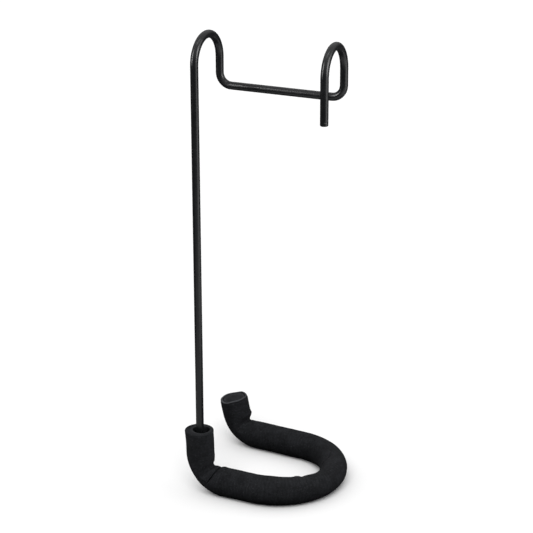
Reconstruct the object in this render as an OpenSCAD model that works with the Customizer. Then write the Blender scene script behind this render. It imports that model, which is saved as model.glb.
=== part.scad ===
// Hook-over rod rest with a foam-padded cradle.
// One bent steel rod: two inverted-U hooks joined by a cross bar, a long post
// under the left hook, and a flat U at the foot that turns up at its far end.
// A foam tube is threaded over the foot, and a foam plug closes its far end.
// Millimetres, +Z up. The floor is z = 0 and the origin is the middle of the
// footprint. The hooks stand over X, so a rail running along X fits under them.

/* [Rod] */
// Diameter of the coated rod
rod_diameter = 8; // [6:0.5:10]
// Rounding of the rod's free tip
tip_rounding = 1.2; // [0.4:0.2:2.4]

/* [Post and hooks] */
// Height from the floor to the top of the hooks
overall_height = 480; // [380:5:620]
// Clear gap inside each hook, across the rail that it sits on
hook_gap = 44.4; // [24:0.4:70]
// Distance from the top of the hooks down to the cross bar's centre
hook_drop = 59; // [52:1:90]
// Distance between the two hooks, rod centre to rod centre
hook_spacing = 134; // [70:1:220]
// Centreline radius of the corners at the two ends of the cross bar
corner_radius = 12.4; // [10:0.2:16]
// Distance from the top of the hooks down to the free tip
tip_drop = 74.4; // [50:1:110]
// Turn of the right hook about the vertical, away from square
hook_skew = 3.5; // [-8:0.5:8]

/* [Foot] */
// Centreline radius of the bend from the post into the foot
foot_bend_radius = 28.4; // [24:0.4:40]
// Straight length of the front leg
front_leg = 32.6; // [15:0.2:80]
// Centreline radius of the U-turn
turn_radius = 58.4; // [45:0.2:80]
// How far round the U-turn goes; at 180 the back leg is parallel to the front leg
turn_angle = 177.1; // [165:0.1:180]
// Straight length of the back leg
back_leg = 57.2; // [20:0.2:80]
// Centreline radius of the bend that turns the far end up
rise_bend_radius = 27.2; // [24:0.2:40]
// How far the far end is bent up from the floor
rise_angle = 77.5; // [50:0.5:90]
// Straight length of the far end past its bend
rise_length = 17.6; // [14:0.2:50]

/* [Foam] */
// Wall of the foam tube
foam_wall = 7.2; // [4:0.2:10]
// Radial play between the rod and the foam tube's bore
foam_play = 3.5; // [0.5:0.1:4]
// Height of the foam tube's open end above the floor
foam_top = 68.6; // [60:0.2:150]
// How much the foam is pressed flat where it rests on the floor
foam_press = 0.4; // [0.2:0.1:1]
// Depth of the plug in the foam tube's far end
plug_depth = 8; // [4:0.5:12]
// Radial clearance of the plug's stem in the bore
plug_clearance = 0.1; // [0.05:0.05:0.4]
// Step from the foam tube's outside in to the plug's head
plug_step = 0.4; // [0:0.1:1.5]
// Thickness of the plug's head at its rim
plug_rim = 1.4; // [0.6:0.2:3]
// Rise of the plug's domed face above its rim
plug_dome = 1.6; // [0.4:0.2:3]

/* [Hidden] */
$fn = 96;

rod_radius = rod_diameter / 2;
bore_diameter = rod_diameter + 2 * foam_play;
foam_diameter = bore_diameter + 2 * foam_wall;
foam_radius = foam_diameter / 2;

// The foot's centreline stands off the floor by the pressed foam's radius
foot_level = foam_radius - foam_press;
post_foot = foot_level + foot_bend_radius;

hook_radius = (hook_gap + rod_diameter) / 2;
hook_spring = overall_height - rod_radius - hook_radius;
bar_level = overall_height - hook_drop;
hook_side = hook_spring - bar_level - corner_radius;
bar_length = hook_spacing - 2 * corner_radius;
tip_length = hook_spring - (overall_height - tip_drop);

plug_head_radius = foam_radius - plug_step;
dome_sphere = (pow(plug_head_radius, 2) + pow(plug_dome, 2)) / (2 * plug_dome);
// How far the cut of the bore runs past the foam tube's ends
overrun = 1;
// The steps where a run of rod or foam is let into a bend, and how far in it goes
rod_seam = 0.02;
foam_seam = 0.1;
seam_depth = 0.6;

// The far end's centre, measured from the post's axis, and how much its face
// looks along X and along Y
far_reach = back_leg + rise_bend_radius * sin(rise_angle) + rise_length * cos(rise_angle);
far_end_x = foot_bend_radius + front_leg + turn_radius * sin(turn_angle)
    + far_reach * cos(turn_angle);
far_end_y = turn_radius * (1 - cos(turn_angle)) + far_reach * sin(turn_angle);
face_x = abs(cos(turn_angle) * cos(rise_angle));
face_y = abs(sin(turn_angle) * cos(rise_angle));

// Footprint measured from the post's axis, which sets the origin
low_x = far_end_x - max((foam_radius - foam_seam) * sqrt(1 - pow(face_x, 2)),
    plug_head_radius * sqrt(1 - pow(face_x, 2)) + plug_rim * face_x);
high_x = max(hook_spacing + rod_radius,
    hook_spacing + 2 * hook_radius * sin(hook_skew) + rod_radius,
    foot_bend_radius + front_leg + turn_radius + foam_radius);
low_y = -foam_radius;
high_y = max(turn_radius * (1 - cos(turn_angle)) + foam_radius,
    far_end_y + (foam_radius - foam_seam) * sqrt(1 - pow(face_y, 2)));
post_x = -(low_x + high_x) / 2;
post_y = -(low_y + high_y) / 2;

// Places its children on the post's axis at the given height
module on_post(height) {
    translate([post_x, post_y, height]) children();
}

// Straight run of rod or tube along +Z, with its children at its far end. A run
// or a bend with no diameter draws nothing and only places its children.
module run(diameter, length) {
    if (diameter > 0) cylinder(d = diameter, h = length);
    translate([0, 0, length]) children();
}

// Bend that starts along +Z and turns by angle towards the direction side,
// measured about Z from X, with its children at its far end and untwisted
module bend(diameter, radius, angle, side) {
    rotate([0, 0, side]) {
        if (diameter > 0)
            translate([radius, 0, 0]) rotate([90, 0, 180])
                rotate_extrude(angle = angle) translate([radius, 0]) circle(d = diameter);
        translate([radius, 0, 0]) rotate([0, angle, 0]) translate([-radius, 0, 0])
            rotate([0, 0, -side]) children();
    }
}

// Run that follows a turn through an odd angle: a hair thinner than the bend
// before it, and let into that bend, so that the two meet in a clean step. Where
// another bend follows, it is let into that one as well, by the depth past_end.
module let_in_run(diameter, length, step, past_end = 0) {
    if (diameter > 0)
        translate([0, 0, -seam_depth])
            cylinder(d = diameter - 2 * step, h = seam_depth + length + past_end);
    translate([0, 0, length]) children();
}

// The foot from the bottom of the post to the far end, starting down the post
module foot(diameter, step) {
    on_post(post_foot) rotate([180, 0, 0])
        bend(diameter, foot_bend_radius, 90, 0)
        run(diameter, front_leg)
        bend(diameter, turn_radius, turn_angle, -90)
        let_in_run(diameter, back_leg, step, seam_depth)
        bend(diameter, rise_bend_radius, rise_angle, 0)
        children();
}

// Short length of rod with a rounded end, drawn from z = 0 up to its length
module rounded_tip(length) {
    rotate_extrude() {
        square([rod_radius, length - tip_rounding]);
        square([rod_radius - tip_rounding, length]);
        translate([rod_radius - tip_rounding, length - tip_rounding])
            intersection() {
                circle(r = tip_rounding);
                square(tip_rounding);
            }
    }
}

// The bent steel rod, in one length from the free tip to the far end
module rod() {
    color([0.05, 0.05, 0.055]) {
        on_post(post_foot)
            run(rod_diameter, hook_spring - post_foot)
            bend(rod_diameter, hook_radius, 180, 90)
            run(rod_diameter, hook_side)
            bend(rod_diameter, corner_radius, 90, 0)
            run(rod_diameter, bar_length)
            bend(rod_diameter, corner_radius, 90, 0)
            rotate([0, 0, hook_skew]) let_in_run(rod_diameter, hook_side, rod_seam)
            bend(rod_diameter, hook_radius, 180, 90)
            rounded_tip(tip_length);
        foot(rod_diameter, rod_seam)
            let_in_run(rod_diameter, rise_length - plug_depth, rod_seam);
    }
}

// The foam tube's outside or bore, run past both ends where it is a cut
module foam_route(diameter, past) {
    on_post(post_foot) cylinder(d = diameter, h = foam_top - post_foot + past);
    foot(diameter, foam_seam) let_in_run(diameter, rise_length + past, foam_seam);
}

// The foam tube, pressed flat where it rests on the floor
module foam_sleeve() {
    footprint = high_x - low_x + 2 * foam_diameter;
    color([0.09, 0.09, 0.095])
        difference() {
            foam_route(foam_diameter, 0);
            foam_route(bore_diameter, overrun);
            translate([0, 0, -foam_radius])
                linear_extrude(foam_radius) square(footprint, center = true);
        }
}

// The plug that closes the foam tube: a stem in the bore under a domed head
module end_plug() {
    color([0.11, 0.11, 0.115])
        foot(0, 0) translate([0, 0, rise_length]) {
            translate([0, 0, -plug_depth])
                cylinder(d = bore_diameter - 2 * plug_clearance, h = plug_depth);
            intersection() {
                cylinder(r = plug_head_radius, h = plug_rim + plug_dome);
                translate([0, 0, plug_rim + plug_dome - dome_sphere]) sphere(r = dome_sphere);
            }
        }
}

rod();
foam_sleeve();
end_plug();
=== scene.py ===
"""Studio scene of a hook-over rod rest with a foam-padded foot.

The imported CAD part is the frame: the bent rod is the CAD node itself with a
powder-coat material, and the foam tube and its end plug are modelled here, in
mesh code, in the space that their CAD solids hold. Metres, +Z up.
"""

import math

import bpy
import numpy as np
from mathutils import Matrix, Vector, noise


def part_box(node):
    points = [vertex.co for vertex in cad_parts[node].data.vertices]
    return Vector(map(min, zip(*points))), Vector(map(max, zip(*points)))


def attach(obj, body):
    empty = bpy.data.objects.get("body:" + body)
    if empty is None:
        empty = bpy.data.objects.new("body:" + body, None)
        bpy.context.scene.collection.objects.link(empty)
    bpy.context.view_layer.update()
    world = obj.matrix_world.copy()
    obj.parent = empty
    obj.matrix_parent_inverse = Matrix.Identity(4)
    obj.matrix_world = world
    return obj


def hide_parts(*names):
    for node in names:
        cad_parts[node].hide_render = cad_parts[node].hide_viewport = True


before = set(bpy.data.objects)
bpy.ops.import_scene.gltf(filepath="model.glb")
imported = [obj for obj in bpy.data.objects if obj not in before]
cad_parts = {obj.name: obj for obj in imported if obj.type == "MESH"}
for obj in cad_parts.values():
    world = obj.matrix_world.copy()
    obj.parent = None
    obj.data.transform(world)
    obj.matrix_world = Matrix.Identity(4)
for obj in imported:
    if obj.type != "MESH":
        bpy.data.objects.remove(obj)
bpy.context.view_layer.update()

MM = 0.001
PI = math.pi

# ---------------------------------------------------------------- sizes
# Sizes that a box can't give, as the part's source has them
ROD_RADIUS = 4.0 * MM
FOAM_PRESS = 0.4 * MM
BORE_RADIUS = 7.5 * MM
BASE_RADIUS = 28.4 * MM
FRONT_LEG = 32.6 * MM
TURN_RADIUS = 58.4 * MM
TURN_ANGLE = math.radians(177.1)
BACK_LEG = 57.2 * MM
RISE_RADIUS = 27.2 * MM
RISE_ANGLE = math.radians(77.5)
RISE_LENGTH = 17.6 * MM
PLUG_STEP = 0.4 * MM
PLUG_DEPTH = 8.0 * MM

# Places and sizes that come from the frame
rod_low, rod_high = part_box("rod")
foam_low, foam_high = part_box("foam_sleeve")
post_y = rod_low.y + ROD_RADIUS
foam_radius = post_y - foam_low.y
turn_x = foam_high.x - foam_radius - TURN_RADIUS
post_x = turn_x - FRONT_LEG - BASE_RADIUS
foam_top = foam_high.z
foot_level = foam_radius - FOAM_PRESS
post_foot = foot_level + BASE_RADIUS


# ---------------------------------------------------------------- the foam's route
class Route:
    """The foam's centreline, from its open mouth on the post to the far end.

    Each place on it has a direction, an `up` side, which is the inner side of
    the two upright bends and the top of the legs, and an `inner` side, which
    faces the middle of the U-turn."""

    def __init__(self):
        self.legs = []
        self.place = np.array([post_x, post_y, foam_top])
        self.ahead = np.array([0.0, 0.0, -1.0])
        self.up = np.array([1.0, 0.0, 0.0])
        self.length = 0.0
        self.straight(foam_top - post_foot)
        self.base = self.bend(BASE_RADIUS, PI / 2, "up")
        self.front = self.straight(FRONT_LEG)
        self.turn = self.bend(TURN_RADIUS, TURN_ANGLE, "inner")
        self.back = self.straight(BACK_LEG)
        self.rise = self.bend(RISE_RADIUS, RISE_ANGLE, "up")
        self.straight(RISE_LENGTH)

    def side(self):
        return np.cross(self.up, self.ahead)

    def add(self, kind, length, radius, angle):
        leg = dict(kind=kind, start=self.length, length=length, radius=radius, angle=angle,
                   place=self.place, ahead=self.ahead, up=self.up, inner=self.side())
        self.legs.append(leg)
        self.place, self.ahead, self.up, _ = (v[0] for v in self.walk(leg, np.array([length])))
        self.length += length
        return leg

    def straight(self, length):
        return self.add("straight", length, 0.0, 0.0)

    def bend(self, radius, angle, towards):
        return self.add(towards, radius * angle, radius, angle)

    @staticmethod
    def walk(leg, run):
        """Places, directions, up sides and inner sides at these runs along a leg."""
        run = np.asarray(run, float)[:, None]
        keep = np.ones_like(run)
        place, ahead, up, inner = (leg[k][None, :] for k in ("place", "ahead", "up", "inner"))
        if leg["kind"] == "straight":
            return place + ahead * run, ahead * keep, up * keep, inner * keep
        turned = run / leg["radius"]
        cos, sin = np.cos(turned), np.sin(turned)
        if leg["kind"] == "up":
            new_ahead, new_up = ahead * cos + up * sin, up * cos - ahead * sin
            return place + (up - new_up) * leg["radius"], new_ahead, new_up, inner * keep
        new_ahead, new_inner = ahead * cos + inner * sin, inner * cos - ahead * sin
        return place + (inner - new_inner) * leg["radius"], new_ahead, up * keep, new_inner

    def at(self, along):
        """The same for any distances along the whole route."""
        along = np.asarray(along, float)
        out = [np.zeros((len(along), 3)) for _ in range(4)]
        for i, leg in enumerate(self.legs):
            first, last = leg["start"], leg["start"] + leg["length"]
            here = (along >= first) if i == len(self.legs) - 1 else (along >= first) & (along < last)
            if i == 0:
                here |= along < 0
            if here.any():
                for whole, part in zip(out, self.walk(leg, along[here] - first)):
                    whole[here] = part
        return out

    def on(self, leg, degrees):
        """Distance along the route to an angle of one of its bends."""
        return leg["start"] + math.radians(degrees) * leg["radius"]


route = Route()


# ---------------------------------------------------------------- small tools
def smooth(x, low, high):
    """0 below `low`, 1 above `high`, and a soft step between them."""
    t = np.clip((x - low) / (high - low), 0.0, 1.0)
    return t * t * (3 - 2 * t)


def grain(points, size, seed):
    """Smooth noise from about -1 to 1, with lumps about `size` across."""
    shift = Vector((3.7 * seed, -5.1 * seed, 7.9 * seed))
    return np.array([noise.noise(Vector(p) / size + shift) for p in points])


def hump(along, around, at, side, length, spread, lean=0.0):
    """1 at the place (at, side), fading over `length` metres along and `spread`
    degrees around. `side` is in degrees from the up side towards the inner side,
    and `lean` moves the place along, in metres per degree around."""
    turned = np.degrees(around) - side
    turned = (turned + 180) % 360 - 180
    return (np.exp(-(((along - at - lean * turned) / length) ** 2))
            * np.exp(-((turned / spread) ** 2)))


def mesh_object(name, points, faces, smooth_faces=True):
    """A new object in the scene, from points and faces."""
    mesh = bpy.data.meshes.new(name)
    mesh.from_pydata([tuple(p) for p in points], [], faces)
    mesh.validate()
    mesh.update()
    for polygon in mesh.polygons:
        polygon.use_smooth = smooth_faces
    thing = bpy.data.objects.new(name, mesh)
    bpy.context.scene.collection.objects.link(thing)
    return thing


# ---------------------------------------------------------------- the foam tube
# Points round a ring, the gap between rings, and the finer rings at the sharp
# places: their gap, their reach each way, and the space kept clear for them
AROUND = 128
RING_STEP = 0.6 * MM
FINE_STEP = 0.16 * MM
FINE_REACH = 3.1 * MM
FINE_CLEAR = 3.2 * MM
# The open mouth on the post: its rounded lips, its flare, and how far its hole
# is moved and its rim leans, each towards the up and the inner sides
MOUTH_LIP = 1.3 * MM
INNER_LIP = 0.8 * MM
MOUTH_FLARE = 0.25 * MM
MOUTH_BORE = 8.8 * MM
MOUTH_SHIFT = (1.3 * MM, 0.5 * MM)
MOUTH_LEAN = (0.75 * MM, 0.25 * MM)
# Inside, the tube closes in on the rod away from its ends
GRIPPED_BORE = 5.2 * MM
# The extruder's faint rings round the tube
RIPPLE_PITCH = 3.3 * MM
RIPPLE_HEIGHT = 0.06 * MM
# The far end: its rounded lip, its flare, and how much lower than the route's
# end its cut is, at its middle and more at its near side
END_LIP = 0.9 * MM
END_FLARE = 0.6 * MM
END_DROP = 1.8 * MM
END_NEAR_DROP = 1.2 * MM
NEAR_SIDE = math.radians(64)

base_corner = route.on(route.base, 38.5)
crease_at = route.on(route.base, 63.5)
rise_corner = route.on(route.rise, 46.0)
end_rolls = route.length - 6.2 * MM


def ring_places():
    """Distances along the route for the outer rings, closer at the sharp places."""
    lip = MOUTH_LIP * (1 - np.cos(np.linspace(0, PI / 2, 7)))
    far = route.length - END_LIP * (1 - np.cos(np.linspace(PI / 2, 0, 6)))
    middle = np.arange(MOUTH_LIP + RING_STEP, route.length - END_LIP - RING_STEP / 2, RING_STEP)
    for sharp in (crease_at, base_corner, rise_corner, end_rolls):
        middle = middle[np.abs(middle - sharp) > FINE_CLEAR]
        fine = np.arange(sharp - FINE_REACH, sharp + FINE_REACH, FINE_STEP)
        middle = np.concatenate([middle, fine])
    return np.concatenate([lip, np.sort(middle), far])


def fold(along, around, bend):
    """How much farther from an upright bend's centre the foam lies than the plain
    tube. The inner side runs on straight from each leg to one corner, as foam
    does, where the rod keeps its round bend."""
    turned = np.clip((along - bend["start"]) / bend["radius"], 0, bend["angle"])
    nearest = np.minimum(turned, bend["angle"] - turned)
    reach = smooth(np.cos(around), -0.2, 0.7)
    return (1 / np.cos(nearest) - 1) * reach


def foam_relief(along, around):
    """Height of the foam's outside above its plain round section."""
    def spot(tall, at, side, length, spread, lean=0.0):
        """A hump `tall` and `length` millimetres in size."""
        return tall * MM * hump(along, around, at, side, length * MM, spread, lean * MM)

    high = np.zeros_like(along)
    # Base bend: a deep corner, a small lobe beside it, and one sharp dark crease
    high -= spot(2.3, base_corner, 0, 2.3, 42)
    high += spot(0.7, route.on(route.base, 51), -8, 2.6, 34)
    high += spot(0.6, route.on(route.base, 12), -8, 5, 40)
    high -= spot(1.3, route.on(route.base, 32), 180, 13, 62)
    high += spot(0.8, route.front["start"] + 10 * MM, 14, 24, 50)
    high += spot(0.8, route.on(route.base, 79), 6, 5, 46)
    high += spot(0.7, route.on(route.turn, 18), 16, 17, 44)
    one_side = smooth(np.degrees(around), -104, -62) * (1 - smooth(np.degrees(around), 40, 80))
    high -= 2.4 * MM * one_side * np.exp(-(((along - crease_at) / (0.55 * MM)) ** 2))
    high -= 0.5 * MM * one_side * np.exp(-(((along - crease_at) / (2.2 * MM)) ** 2))
    for side in (-78, 78):
        high += spot(0.8, route.on(route.base, 45), side, 9, 30)
        high += spot(0.7, route.on(route.rise, 38), side, 8, 30)
    # Rise bend: a bulge over a sharp tuck, with a fold line on the near side
    high -= spot(3.2, rise_corner, -8, 2.4, 50)
    high += spot(1.5, route.on(route.rise, 66), -8, 4.6, 56)
    high -= spot(0.9, route.on(route.rise, 34), 50, 1.9, 30, 0.05)
    high += spot(0.5, route.on(route.rise, 26), 62, 3.4, 26)
    # U-turn: the inner side is squeezed, so it flattens and buckles
    high += spot(0.9, route.on(route.turn, 47), 20, 3.6, 26)
    high -= spot(1.2, route.on(route.turn, 54), 22, 3.0, 30)
    high -= spot(2.3, route.on(route.turn, 60), 28, 25, 40)
    high -= spot(1.6, route.on(route.turn, 75), 30, 10, 34)
    high -= spot(4.2, route.on(route.turn, 88), 80, 15, 44)
    high -= spot(3.0, route.on(route.turn, 105), 38, 2.6, 24, -0.60)
    high -= spot(1.1, route.on(route.turn, 114), 52, 8, 30)
    high -= spot(1.3, route.on(route.turn, 114), 24, 5, 24)
    high -= spot(0.5, route.on(route.turn, 140), 0, 30, 60)
    high += spot(0.6, route.back["start"] + 14 * MM, 48, 8, 30)
    # Far end: pushed a little wide by the plug, with two faint rolls under the rim
    high += END_FLARE * smooth(along, route.on(route.rise, 46), route.length - 6 * MM)
    for back, deep in ((4.6, 0.28), (7.4, 0.20)):
        high -= spot(deep, route.length - back * MM, 20, 0.8, 46)
    # Mouth: the tube opens a little where nothing holds it
    high += MOUTH_FLARE * np.exp(-((along / (5 * MM)) ** 2))
    return high


def end_tilt(rise, across):
    """How far the far end's cut lies past the route's end: its near side is lower."""
    near = (rise * math.cos(NEAR_SIDE) + across * math.sin(NEAR_SIDE)) / foam_radius
    return -(END_DROP + END_NEAR_DROP * near)


def foam_points():
    """Rings of points that close on themselves: outside, far end, bore, mouth. With them, each
    ring's distance along the route and its tone, which is the share of the paler colour: a cut
    edge's own paler colour, and a painted highlight along the mouth's inner lip."""
    theta = np.linspace(-PI, PI, AROUND, endpoint=False)
    rings, along_of, pale_edge_and_highlight_of = [], [], []

    # Outside
    along = ring_places()
    place, ahead, up, inner = route.at(along)
    s = np.repeat(along[:, None], AROUND, 1)
    t = np.repeat(theta[None, :], len(along), 0)
    radius = np.full_like(s, foam_radius) + foam_relief(s, t)
    for end, lip in ((0.0, MOUTH_LIP), (route.length, END_LIP)):
        inside = np.clip(np.abs(s - end), 0, lip)
        radius -= lip - np.sqrt(np.maximum(lip ** 2 - (lip - inside) ** 2, 0))
    raw = (place[:, None] + radius[..., None] * (np.cos(t)[..., None] * up[:, None]
                                                + np.sin(t)[..., None] * inner[:, None]))
    flat = raw.reshape(-1, 3)
    # Soft lumps of two sizes, and rings that come and go; both calmer at the ends
    ripple = np.sin(2 * PI * s / RIPPLE_PITCH + 2.6 * grain(flat, 22 * MM, 3).reshape(s.shape))
    patch = smooth(grain(flat, 17 * MM, 4).reshape(s.shape), -0.1, 0.5)
    edge = smooth(s, 0, 4 * MM) * (1 - smooth(s, route.length - 3 * MM, route.length))
    radius += (0.20 * MM * grain(flat, 19 * MM, 1) + 0.10 * MM * grain(flat, 6 * MM, 2)
               ).reshape(s.shape) * (0.35 + 0.65 * edge)
    radius += RIPPLE_HEIGHT * ripple * (0.15 + 0.85 * patch) * edge
    rise = radius * np.cos(t)
    across = radius * np.sin(t)
    for bend in (route.base, route.rise):
        here = (along >= bend["start"]) & (along <= bend["start"] + bend["length"])
        grown = 1 + fold(s[here], t[here], bend)
        rise[here] = bend["radius"] - (bend["radius"] - rise[here]) * grown
    # The free mouth leans a little off the post's axis
    lean = np.exp(-(s / (11 * MM)) ** 2)
    rise -= MOUTH_LEAN[0] * lean
    across -= MOUTH_LEAN[1] * lean
    points = place[:, None] + rise[..., None] * up[:, None] + across[..., None] * inner[:, None]
    cut = end_tilt(rise, across) * smooth(s, route.length - 14 * MM, route.length)
    points = points + cut[..., None] * ahead[:, None]
    rings += list(points)
    along_of += list(along)
    # The cut edge's paler colour on the mouth's outer lip
    pale_edge_and_highlight_of += list(0.15 * (1 - smooth(along, 0.6 * MM, 2.4 * MM)))

    def bore_ring(at, size, shift_up=0.0, shift_in=0.0, lift=None, tone=0.0):
        """Add a ring of radius `size`, moved sideways and raised towards the mouth."""
        p, a, u, n = route.at(np.array([at]))
        ring = (p + (size * np.cos(theta) + shift_up)[:, None] * u
                + (size * np.sin(theta) + shift_in)[:, None] * n)
        if at == route.length:
            ring = ring + end_tilt(size * np.cos(theta), size * np.sin(theta))[:, None] * a
        if lift is not None:
            ring = ring - lift[:, None] * a
        rings.append(ring)
        along_of.append(at)
        pale_edge_and_highlight_of.append(tone)

    # The far end's flat under the plug, then the bore
    for size in np.linspace(foam_radius + END_FLARE - END_LIP - 1.2 * MM, BORE_RADIUS, 4):
        bore_ring(route.length, size)
    for at in np.arange(route.length - 4 * MM, 2.5 * MM, -3 * MM):
        to_end = min(at, route.length - at)
        size = GRIPPED_BORE + (BORE_RADIUS - GRIPPED_BORE) * (1 - smooth(to_end, 9 * MM, 20 * MM))
        opening = 1 - smooth(at, 1.5 * MM, 9 * MM)
        size += (MOUTH_BORE - BORE_RADIUS) * opening
        bore_ring(at, size, MOUTH_SHIFT[0] * opening, MOUTH_SHIFT[1] * opening)
    # Inner lip, then the cut face, which is not quite flat. Their tone is the cut edge's paler
    # colour plus a painted highlight, brightest along the inner lip and fading across the face.
    waves = 0.28 * MM * np.sin(2 * theta + 0.6) + 0.16 * MM * np.sin(3 * theta + 2.1)
    for turned in np.linspace(0, PI / 2, 6):
        size = MOUTH_BORE + INNER_LIP * (1 - math.cos(turned))
        bore_ring(INNER_LIP * (1 - math.sin(turned)), size,
                  *MOUTH_SHIFT, lift=waves * 0.6, tone=0.4 + 0.6 * math.sin(turned))
    outside = foam_radius + MOUTH_FLARE - MOUTH_LIP
    inside = MOUTH_BORE + INNER_LIP
    for share in (0.15, 0.3, 0.45, 0.6, 0.75, 0.9):
        size = inside + (outside - inside) * share
        turned = (np.degrees(theta) - 160 + 180) % 360 - 180
        groove = (0.5 * MM * np.exp(-((share - 0.5) / 0.16) ** 2)
                  * np.exp(-(turned / 55) ** 2))
        bore_ring(0.0, size, MOUTH_SHIFT[0] * (1 - share) - MOUTH_LEAN[0] * share,
                  MOUTH_SHIFT[1] * (1 - share) - MOUTH_LEAN[1] * share,
                  lift=waves * 0.6 * (1 - share) - groove, tone=0.8 * (1 - share) ** 3 + 0.15)
    points = np.array(rings)
    points[..., 2] = np.maximum(points[..., 2], 0.0)
    return points, np.array(along_of), np.array(pale_edge_and_highlight_of)


def build_foam():
    """The tube's closed mesh, with its tones and an unrolled map for the ring pattern."""
    points, along_of, pale_edge_and_highlight_of = foam_points()
    rings = len(points)
    faces = []
    for i in range(rings):
        after = (i + 1) % rings
        for j in range(AROUND):
            k = (j + 1) % AROUND
            faces.append((i * AROUND + j, i * AROUND + k, after * AROUND + k, after * AROUND + j))
    foam = mesh_object("foam_tube", points.reshape(-1, 3), faces)
    tone = foam.data.attributes.new("tone", "FLOAT", "POINT")
    tone.data.foreach_set("value", np.repeat(pale_edge_and_highlight_of, AROUND).astype(np.float32))
    uv = foam.data.uv_layers.new(name="sleeve")
    index = np.arange(rings * AROUND)
    ring, step = index // AROUND, index % AROUND
    girth = 2 * PI * foam_radius
    corners = []
    for dr, ds in ((0, 0), (0, 1), (1, 1), (1, 0)):
        u = along_of[(ring + dr) % rings]
        v = (step + ds) / AROUND * girth
        corners.append(np.stack([u, v], 1))
    flat = np.stack(corners, 1).reshape(-1)
    uv.data.foreach_set("uv", flat.astype(np.float32))
    return foam


# ---------------------------------------------------------------- the end plug
PLUG_AROUND = 120
# Higher than in the CAD, whose dome hardly shows
PLUG_DOME = 1.9 * MM
BEAD_RADIUS = 1.1 * MM
BEAD_HEIGHT = 1.15 * MM
TROUGH_INSET = 2.5 * MM
TROUGH_HEIGHT = 0.3 * MM
STEM_RADIUS = 7.4 * MM


def build_plug():
    """A foam disc on a short stem: a beaded, slightly wavy edge round a low dome."""
    place, ahead, up, inner = route.at(np.array([route.length]))
    head = foam_radius - PLUG_STEP + END_FLARE
    theta = np.linspace(-PI, PI, PLUG_AROUND, endpoint=False)
    wave = (0.34 * np.sin(2 * theta + 0.9) + 0.36 * np.sin(3 * theta - 0.4)
            + 0.30 * np.sin(5 * theta + 1.7)) * MM
    trough = head - TROUGH_INSET
    # Rows of radius, height, share of the edge's wave, and tone, which is the share of painted
    # highlight: strongest along the crest of the bead
    profile = []
    for r in np.concatenate([np.linspace(0.6, 10.2, 20) * MM, np.linspace(10.5 * MM, trough, 6)]):
        dome = PLUG_DOME * (1 - smooth(r, 2.5 * MM, trough))
        profile.append((r, TROUGH_HEIGHT + dome, smooth(r, 0.4 * head, trough), 0.04))
    for turned in np.linspace(PI, 0, 13):
        profile.append((head - BEAD_RADIUS + BEAD_RADIUS * math.cos(turned),
                        BEAD_HEIGHT + BEAD_RADIUS * math.sin(turned),
                        1.0, smooth(math.sin(turned), 0.1, 0.8)))
    # The head's edge and underside, then the stem, slightly narrower towards its foot
    profile += [(head - 0.05 * MM, 0.45 * MM, 0.3, 0.0), (head - 0.35 * MM, 0.06 * MM, 0.0, 0.0),
                (head - 1.2 * MM, 0.0, 0.0, 0.0), (9.0 * MM, 0.0, 0.0, 0.0),
                (STEM_RADIUS + 0.02 * MM, 0.0, 0.0, 0.0), (STEM_RADIUS, -0.4 * MM, 0.0, 0.0),
                (STEM_RADIUS - 0.02 * MM, -4.0 * MM, 0.0, 0.0),
                (STEM_RADIUS - 0.1 * MM, -PLUG_DEPTH + 0.5 * MM, 0.0, 0.0),
                (STEM_RADIUS - 0.6 * MM, -PLUG_DEPTH, 0.0, 0.0), (3.0 * MM, -PLUG_DEPTH, 0.0, 0.0)]
    rings, tones = [], []
    for r, h, share, tone in profile:
        height = h + wave * share
        # Painted highlight, stronger on the side of the edge that faces the light
        tone = tone * (0.68 + 0.32 * np.cos(theta - math.radians(109)))
        if 0 < h and r <= trough:
            # Crescent rolls inside the rim, and a face that stands higher at the back, with painted
            # highlight on the rolls and on the back half of the face
            for side, spread, out, tall in ((-32, 44, 4.0, 0.8), (150, 26, 4.4, 0.6),
                                            (-95, 34, 5.8, 0.5)):
                turned = (np.degrees(theta) - side + 180) % 360 - 180
                roll = np.exp(-(turned / spread) ** 2) * math.exp(
                    -(((r - head + out * MM) / (0.8 * MM)) ** 2))
                height = height + tall * MM * roll
                tone = tone + 0.35 * roll
            back = (r / head) * np.cos(theta - math.radians(-110))
            height = height + 1.0 * MM * back
            tone = tone + 0.22 * np.maximum(back, 0)
        size = r * (1 + 0.006 * np.sin(4 * theta + 0.8) * share)
        height = height + end_tilt(size * np.cos(theta), size * np.sin(theta))
        rings.append(place + (size * np.cos(theta))[:, None] * up
                     + (size * np.sin(theta))[:, None] * inner
                     + (height * np.ones_like(theta))[:, None] * ahead)
        tones += list(tone * np.ones_like(theta))
    points = np.concatenate(rings)
    top = place[0] + ahead[0] * (TROUGH_HEIGHT + PLUG_DOME + end_tilt(0, 0))
    bottom = place[0] - ahead[0] * (PLUG_DEPTH - end_tilt(0, 0))
    points = np.concatenate([points, [top, bottom]])
    faces = []
    for i in range(len(rings) - 1):
        for j in range(PLUG_AROUND):
            k = (j + 1) % PLUG_AROUND
            faces.append((i * PLUG_AROUND + j, (i + 1) * PLUG_AROUND + j,
                          (i + 1) * PLUG_AROUND + k, i * PLUG_AROUND + k))
    tip, root = len(points) - 2, len(points) - 1
    last = (len(rings) - 1) * PLUG_AROUND
    for j in range(PLUG_AROUND):
        k = (j + 1) % PLUG_AROUND
        faces.append((tip, j, k))
        faces.append((root, last + k, last + j))
    points = points + (grain(points, 3.2 * MM, 6) * 0.16 * MM)[:, None] * ahead
    plug = mesh_object("foam_end_plug", points, faces)
    tone = plug.data.attributes.new("tone", "FLOAT", "POINT")
    tone.data.foreach_set("value", np.array(tones + [0.04, 0.0], np.float32))
    return plug


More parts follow.
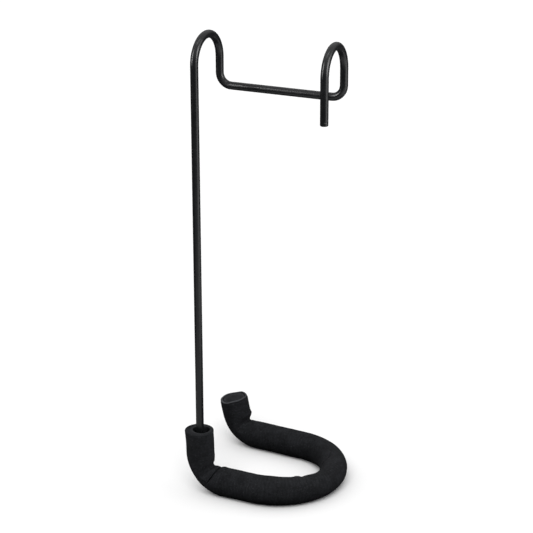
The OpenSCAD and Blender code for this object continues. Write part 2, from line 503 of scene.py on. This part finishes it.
# ---------------------------------------------------------------- materials
class Nodes:
    """Short names for building a material's nodes."""

    def __init__(self, name):
        self.material = bpy.data.materials.new(name)
        self.material.use_nodes = True
        self.tree = self.material.node_tree
        self.shader = next(n for n in self.tree.nodes if n.type == "BSDF_PRINCIPLED")
        self.coordinates = self.tree.nodes.new("ShaderNodeTexCoord")

    def link(self, a, b):
        self.tree.links.new(a, b)

    def add(self, kind, inputs=None, **settings):
        node = self.tree.nodes.new(kind)
        for key, value in settings.items():
            setattr(node, key, value)
        for key, value in (inputs or {}).items():
            if isinstance(value, bpy.types.NodeSocket):
                self.link(value, node.inputs[key])
            else:
                node.inputs[key].default_value = value
        return node

    def noise(self, size, detail, rough, stretch=None):
        """Noise with lumps about `size` metres across."""
        vector = self.coordinates.outputs["Object"]
        if stretch:
            vector = self.add("ShaderNodeMapping", {"Vector": vector, "Scale": stretch}).outputs[0]
        return self.add("ShaderNodeTexNoise", {"Vector": vector, "Scale": 1 / size,
                                               "Detail": detail, "Roughness": rough}).outputs["Fac"]

    def cells(self, size):
        """Distance to the nearest of points about `size` metres apart."""
        return self.add("ShaderNodeTexVoronoi", {"Vector": self.coordinates.outputs["Object"],
                                                 "Scale": 1 / size}).outputs["Distance"]

    def ramp(self, value, low, high, to_low=0.0, to_high=1.0):
        return self.add("ShaderNodeMapRange", {"Value": value, "From Min": low, "From Max": high,
                                               "To Min": to_low, "To Max": to_high},
                        interpolation_type="SMOOTHSTEP").outputs["Result"]

    def math(self, operation, a, b):
        return self.add("ShaderNodeMath", {0: a, 1: b}, operation=operation).outputs[0]

    def mix(self, share, a, b):
        node = self.add("ShaderNodeMix", data_type="RGBA")
        for key, value in (("Factor_Float", share), ("A_Color", a), ("B_Color", b)):
            socket = next(s for s in node.inputs if s.identifier == key)
            if isinstance(value, bpy.types.NodeSocket):
                self.link(value, socket)
            else:
                socket.default_value = value
        return next(s for s in node.outputs if s.identifier == "Result_Color")

    def bump(self, height, distance, strength, under=None):
        inputs = {"Height": height, "Distance": distance, "Strength": strength}
        if under is not None:
            inputs["Normal"] = under
        return self.add("ShaderNodeBump", inputs).outputs["Normal"]

    def set(self, **values):
        for key, value in values.items():
            socket = self.shader.inputs[key.replace("_", " ")]
            if isinstance(value, bpy.types.NodeSocket):
                self.link(value, socket)
            else:
                socket.default_value = value


COAT_DARK = (0.0040, 0.0043, 0.0050, 1)
COAT_LIGHT = (0.0066, 0.0070, 0.0078, 1)
COAT_RUBBED = (0.040, 0.040, 0.041, 1)
COAT_SPECK = (0.22, 0.22, 0.21, 1)
FOAM_PIT = (0.0035, 0.0036, 0.0040, 1)
FOAM_DUST = (0.036, 0.037, 0.041, 1)


def powder_coat(tip):
    """Satin black powder coat: fine orange peel, rubbed inside the hooks, dust specks."""
    n = Nodes("powder_coat")
    peel = n.noise(0.75 * MM, 2.0, 0.55)
    lumps = n.noise(3.2 * MM, 1.5, 0.5)
    tone = n.noise(24 * MM, 3.0, 0.6)
    colour = n.mix(n.ramp(tone, 0.3, 0.7), COAT_DARK, COAT_LIGHT)
    # Rubbed where a rail bears on the inside of the hooks' crowns
    position = n.add("ShaderNodeSeparateXYZ", {"Vector": n.coordinates.outputs["Object"]})
    height = position.outputs["Z"]
    crown = n.ramp(height, rod_high.z - 13 * MM, rod_high.z - 7.6 * MM)
    above = n.ramp(height, rod_high.z - 7.4 * MM, rod_high.z - 5.6 * MM, 1.0, 0.0)
    streaks = n.ramp(n.noise(2.2 * MM, 3.0, 0.6, (0.16, 1, 1)), 0.44, 0.68)
    rub = n.math("MULTIPLY", n.math("MULTIPLY", crown, above), streaks)
    colour = n.mix(n.math("MULTIPLY", rub, 0.55), colour, COAT_RUBBED)
    # A few pale dust specks, more of them at the free tip
    near_tip = n.math("MULTIPLY", n.ramp(height, tip.z + 2 * MM, tip.z + 9 * MM, 1.0, 0.0),
                      n.ramp(position.outputs["X"], tip.x - 8 * MM, tip.x - 7 * MM))
    size = n.math("ADD", n.math("MULTIPLY", near_tip, 0.14), 0.055)
    dots = n.cells(2.6 * MM)
    speck = n.math("LESS_THAN", dots, size)
    rare = n.ramp(n.noise(9 * MM, 2.0, 0.6), 0.56, 0.62)
    speck = n.math("MULTIPLY", speck, n.math("MAXIMUM", rare, near_tip))
    colour = n.mix(n.math("MULTIPLY", speck, 0.4), colour, COAT_SPECK)
    rough = n.ramp(n.noise(7 * MM, 3.0, 0.6), 0.25, 0.75, 0.22, 0.31)
    rough = n.math("SUBTRACT", rough, n.math("MULTIPLY", rub, 0.12))
    rough = n.math("ADD", rough, n.math("MULTIPLY", speck, 0.3))
    fine = n.bump(peel, 0.006 * MM, 0.3)
    n.set(Base_Color=colour, Roughness=rough, Normal=n.bump(lumps, 0.02 * MM, 0.3, fine),
          Specular_IOR_Level=0.36)
    return n.material


def foam_material(name, dark, light, rim, pores, ring_share):
    """Matt closed-cell foam: mottled black, with open pores. `rim` is the colour that the tone
    attribute mixes in: a cut edge's paler colour, and painted highlight on the lips and on the
    plug's bead and rolls. `ring_share` is the weight of the faint rings that extruding leaves."""
    n = Nodes(name)
    cloud = n.noise(10 * MM, 3.0, 0.6)
    mottle = n.noise(2.1 * MM, 4.0, 0.65)
    dust = n.noise(1.1 * MM, 2.0, 0.5)
    blend = n.math("ADD", n.math("MULTIPLY", n.ramp(cloud, 0.36, 0.64), 0.35),
                   n.math("MULTIPLY", n.ramp(mottle, 0.36, 0.64), 0.65))
    if ring_share:
        bands = n.add("ShaderNodeTexWave", {"Vector": n.coordinates.outputs["UV"],
                                            "Scale": 1 / (11.1 * MM), "Distortion": 4.0,
                                            "Detail": 2.0, "Detail Scale": 1.4},
                      wave_type="BANDS", bands_direction="X").outputs["Fac"]
        rings = n.math("MULTIPLY", bands, n.ramp(cloud, 0.38, 0.60, 0.25, 1.0))
        blend = n.math("ADD", n.math("MULTIPLY", blend, 1 - ring_share),
                       n.math("MULTIPLY", rings, ring_share))
    colour = n.mix(blend, dark, light)
    open_pores = n.ramp(n.cells(0.8 * MM), 0.10, 0.36, 1.0, 0.0)
    wanted = n.ramp(n.noise(3.6 * MM, 2.0, 0.6), 0.44, 0.58)
    pits = n.math("MULTIPLY", open_pores, wanted)
    colour = n.mix(n.math("MULTIPLY", pits, pores), colour, FOAM_PIT)
    colour = n.mix(n.ramp(dust, 0.56, 0.76, 0.0, 0.55), colour, FOAM_DUST)
    # The tone attribute mixes in the rim colour: cut-edge paleness and painted highlight
    tone = n.add("ShaderNodeAttribute", attribute_name="tone").outputs["Fac"]
    colour = n.mix(n.math("MULTIPLY", tone, 0.85), colour, rim)
    rough = n.ramp(mottle, 0.3, 0.7, 0.82, 0.98)
    cell_skin = n.bump(n.math("ADD", n.noise(0.6 * MM, 3.0, 0.6), n.math("MULTIPLY", pits, -0.8)),
                       0.14 * MM, 0.8)
    normal = n.bump(mottle, 0.26 * MM, 0.6, cell_skin)
    if ring_share:
        normal = n.bump(rings, 0.10 * MM, 0.7, normal)
    n.set(Base_Color=colour, Roughness=rough, Normal=normal, Specular_IOR_Level=0.12)
    return n.material


# ---------------------------------------------------------------- pieces
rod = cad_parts["rod"]
rod_points = np.array([v.co for v in rod.data.vertices])
# The free tip: the lowest points of the leg that hangs from the right hook
tip_side = rod_points[(rod_points[:, 0] > rod_high.x - 3 * ROD_RADIUS)
                      & (rod_points[:, 1] < post_y + 2 * ROD_RADIUS)
                      & (rod_points[:, 2] > foam_top)]
frame_tip = Vector((tip_side[:, 0].mean(), tip_side[:, 1].mean(), tip_side[:, 2].min()))

coat = powder_coat(frame_tip)
if not rod.material_slots:
    rod.data.materials.append(coat)
for material_slot in rod.material_slots:
    material_slot.material = coat

foam = build_foam()
foam.data.materials.append(foam_material(
    "foam_skin", dark=(0.0034, 0.0037, 0.0044, 1), light=(0.0134, 0.0140, 0.0160, 1),
    rim=(0.026, 0.027, 0.030, 1), pores=0.6, ring_share=0.28))
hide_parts("foam_sleeve")
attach(foam, "root")

plug = build_plug()
plug.data.materials.append(foam_material(
    "foam_cut_face", dark=(0.0038, 0.0040, 0.0047, 1), light=(0.0165, 0.0171, 0.0190, 1),
    rim=(0.062, 0.064, 0.069, 1), pores=0.75, ring_share=0.0))
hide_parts("end_plug")
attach(plug, "root")

# ---------------------------------------------------------------- floor, light and camera
FLOOR_HALF = 9.0


def build_floor():
    """Plain pale paper. It throws no light back at the object: the bounce is a softbox."""
    corners = [(-FLOOR_HALF, -FLOOR_HALF, 0), (FLOOR_HALF, -FLOOR_HALF, 0),
               (FLOOR_HALF, FLOOR_HALF, 0), (-FLOOR_HALF, FLOOR_HALF, 0)]
    floor = mesh_object("floor", corners, [(0, 1, 2, 3)], False)
    n = Nodes("floor_paper")
    shade = n.ramp(n.noise(0.25, 2.0, 0.5), 0.3, 0.7, 0.925, 0.945)
    n.set(Base_Color=n.add("ShaderNodeCombineColor", {0: shade, 1: shade, 2: shade}).outputs[0],
          Roughness=0.95, Specular_IOR_Level=0.05)
    floor.data.materials.append(n.material)
    floor.visible_glossy = False
    floor.visible_diffuse = False
    return floor


def build_world():
    """A white studio dome, bright overhead and dim at the horizon. The camera itself
    sees plain white, as the backdrop."""
    world = bpy.data.worlds.new("studio")
    bpy.context.scene.world = world
    world.use_nodes = True
    tree = world.node_tree
    tree.nodes.clear()
    coordinates = tree.nodes.new("ShaderNodeTexCoord")
    split = tree.nodes.new("ShaderNodeSeparateXYZ")
    tree.links.new(coordinates.outputs["Generated"], split.inputs[0])
    fall = tree.nodes.new("ShaderNodeMapRange")
    fall.interpolation_type = "SMOOTHSTEP"
    fall.inputs["From Min"].default_value = -0.05
    fall.inputs["From Max"].default_value = 0.75
    fall.inputs["To Min"].default_value = 0.05
    fall.inputs["To Max"].default_value = 0.85
    tree.links.new(split.outputs["Z"], fall.inputs["Value"])
    dome = tree.nodes.new("ShaderNodeBackground")
    dome.inputs["Color"].default_value = (1, 1, 1, 1)
    tree.links.new(fall.outputs["Result"], dome.inputs["Strength"])
    seen = tree.nodes.new("ShaderNodeBackground")
    seen.inputs["Color"].default_value = (1, 1, 1, 1)
    seen.inputs["Strength"].default_value = 1.0
    path = tree.nodes.new("ShaderNodeLightPath")
    mix = tree.nodes.new("ShaderNodeMixShader")
    tree.links.new(path.outputs["Is Camera Ray"], mix.inputs[0])
    tree.links.new(dome.outputs[0], mix.inputs[1])
    tree.links.new(seen.outputs[0], mix.inputs[2])
    out = tree.nodes.new("ShaderNodeOutputWorld")
    tree.links.new(mix.outputs[0], out.inputs["Surface"])


def look_at(thing, place, target):
    """Put a lamp at a place and aim it."""
    thing.location = place
    thing.rotation_euler = (Vector(target) - Vector(place)).to_track_quat("-Z", "Y").to_euler()


def softbox(name, place, target, width, height, power):
    """A soft light for the object alone, which the camera can't see."""
    data = bpy.data.lights.new(name, "AREA")
    data.shape = "RECTANGLE"
    data.size, data.size_y = width, height
    data.energy = power
    lamp = bpy.data.objects.new(name, data)
    bpy.context.scene.collection.objects.link(lamp)
    lamp.visible_camera = False
    lamp.light_linking.receiver_collection = lit
    look_at(lamp, place, target)


def floor_sun(floor, strength, spread, towards):
    """A broad soft sun for the floor alone, so it stays white close to the foam."""
    data = bpy.data.lights.new("floor_sun", "SUN")
    data.energy = strength
    data.angle = math.radians(spread)
    lamp = bpy.data.objects.new("floor_sun", data)
    bpy.context.scene.collection.objects.link(lamp)
    only_floor = bpy.data.collections.new("lit_by_sun")
    only_floor.objects.link(floor)
    lamp.light_linking.receiver_collection = only_floor
    look_at(lamp, (0, 0, 2), towards)


VIEW_AZIMUTH = math.radians(26.287)
VIEW_ELEVATION = math.radians(19.083)
VIEW_ROLL = math.radians(-0.123)
VIEW_DISTANCE = 1.6842
LENS = 114.9
SENSOR = 36.0
# The aim, from the foot of the post's axis
AIM_FROM_POST = Vector((67.44 * MM, 19.2 * MM, 250.58 * MM))


def build_camera():
    """The photograph's view."""
    aim = Vector((post_x, post_y, 0)) + AIM_FROM_POST
    cos, sin = math.cos(VIEW_ELEVATION), math.sin(VIEW_ELEVATION)
    back = Vector((math.sin(VIEW_AZIMUTH) * cos, -math.cos(VIEW_AZIMUTH) * cos, sin))
    right = Vector((math.cos(VIEW_AZIMUTH), math.sin(VIEW_AZIMUTH), 0))
    up = back.cross(right)
    right, up = (right * math.cos(VIEW_ROLL) + up * math.sin(VIEW_ROLL),
                 up * math.cos(VIEW_ROLL) - right * math.sin(VIEW_ROLL))
    data = bpy.data.cameras.new("camera")
    data.lens = LENS
    data.sensor_width = SENSOR
    data.clip_start, data.clip_end = 0.05, 60
    camera = bpy.data.objects.new("camera", data)
    turned = Matrix((right, up, back)).transposed().to_4x4()
    camera.matrix_world = Matrix.Translation(aim + back * VIEW_DISTANCE) @ turned
    bpy.context.scene.collection.objects.link(camera)
    bpy.context.scene.camera = camera


floor = build_floor()
build_world()
floor_sun(floor, strength=1.65, spread=45, towards=(-0.5, 1.5, 0))
lit = bpy.data.collections.new("lit_by_softboxes")
for piece in (rod, foam, plug):
    lit.objects.link(piece)
# What the lights aim at: the hooks, and the middle of the post
HOOKS = (0.0, -0.05, 0.44)
POST = (0.0, -0.04, 0.22)
softbox("right_box", (0.62, -0.02, 0.42), POST, width=0.55, height=0.85, power=2.8)
softbox("right_high_box", (0.76, -0.11, 0.68), HOOKS, width=0.20, height=0.50, power=3.3)
softbox("left_high_box", (-0.53, -0.60, 0.71), HOOKS, width=0.18, height=0.58, power=4.9)
softbox("top_box", (0.10, -0.16, 1.25), HOOKS, width=0.50, height=0.16, power=0.9)
# Two that lie on the floor and face up, for the light that white paper gives back
softbox("floor_bounce", (0.24, -0.52, 0.003), (0.24, -0.52, 1.0), width=1.1, height=0.86, power=1.8)
softbox("right_bounce", (0.64, -0.06, 0.003), (0.64, -0.06, 1.0), width=0.66, height=0.9, power=1.5)
build_camera()
view = bpy.context.scene.view_settings
view.view_transform = "Standard"
view.look = "None"
view.exposure = 0.0
view.gamma = 1.0
